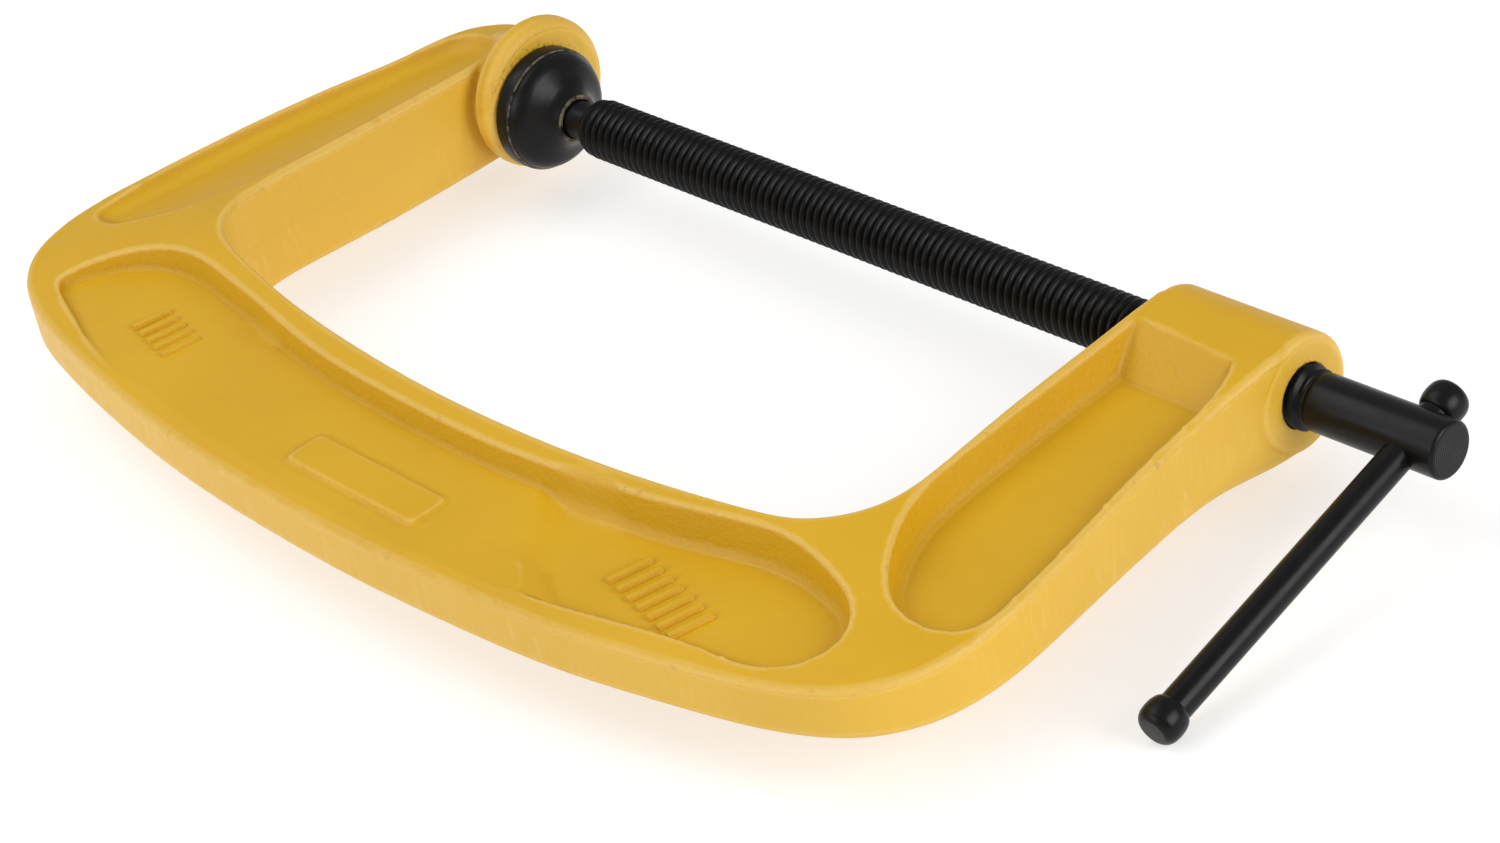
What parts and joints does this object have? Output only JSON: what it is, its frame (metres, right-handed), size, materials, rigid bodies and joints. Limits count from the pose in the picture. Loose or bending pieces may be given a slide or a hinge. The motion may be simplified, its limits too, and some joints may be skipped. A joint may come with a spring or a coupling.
{
  "type": "c clamp",
  "caption": "Cast C-shaped clamp frame with flanged anvil, threaded spindle with swivel pad and a sliding T-bar handle through its head.",
  "frame": {"origin": "centre of the screw axis on the anvil face", "axes": "+X along the screw from the anvil to the handle, spine of the C on the -Y side, +Z square to the plane of the C, so the clamp lies on its side"},
  "size_m": [0.3636, 0.1879, 0.0478],
  "materials": {
    "frame": "yellow enamel over a sand casting, satin gloss",
    "screw": "black oxide steel, oiled satin",
    "pad": "black oxide steel, worn at the rim",
    "bar": "black oxide steel, satin",
    "knobs": "black oxide steel, satin"
  },
  "bodies": {
    "frame": {"frame": "frame"},
    "pad": {"swivel_pad": "pad"},
    "screw": {"screw": "screw"},
    "handle": {"handle_bar": "bar", "handle_knob_upper": "knobs", "handle_knob_lower": "knobs"}
  },
  "joints": [
    {"name": "pad_travel", "type": "slide", "parent": "frame", "child": "pad", "axis": [1, 0, 0], "range_m": [0, 0.203]},
    {"name": "screw_turn", "type": "hinge", "parent": "pad", "child": "screw", "pos_m": [0.008, 0, 0], "axis": [1, 0, 0], "range_deg": [0, 29240]},
    {"name": "bar_slide", "type": "slide", "parent": "screw", "child": "handle", "axis": [0, 0.9763, 0.2164], "range_m": [0, 0.0795]}
  ],
  "couplings": [
    {"joint": "screw_turn", "follows": "pad_travel", "rad_per_m": 2513.3}
  ]
}
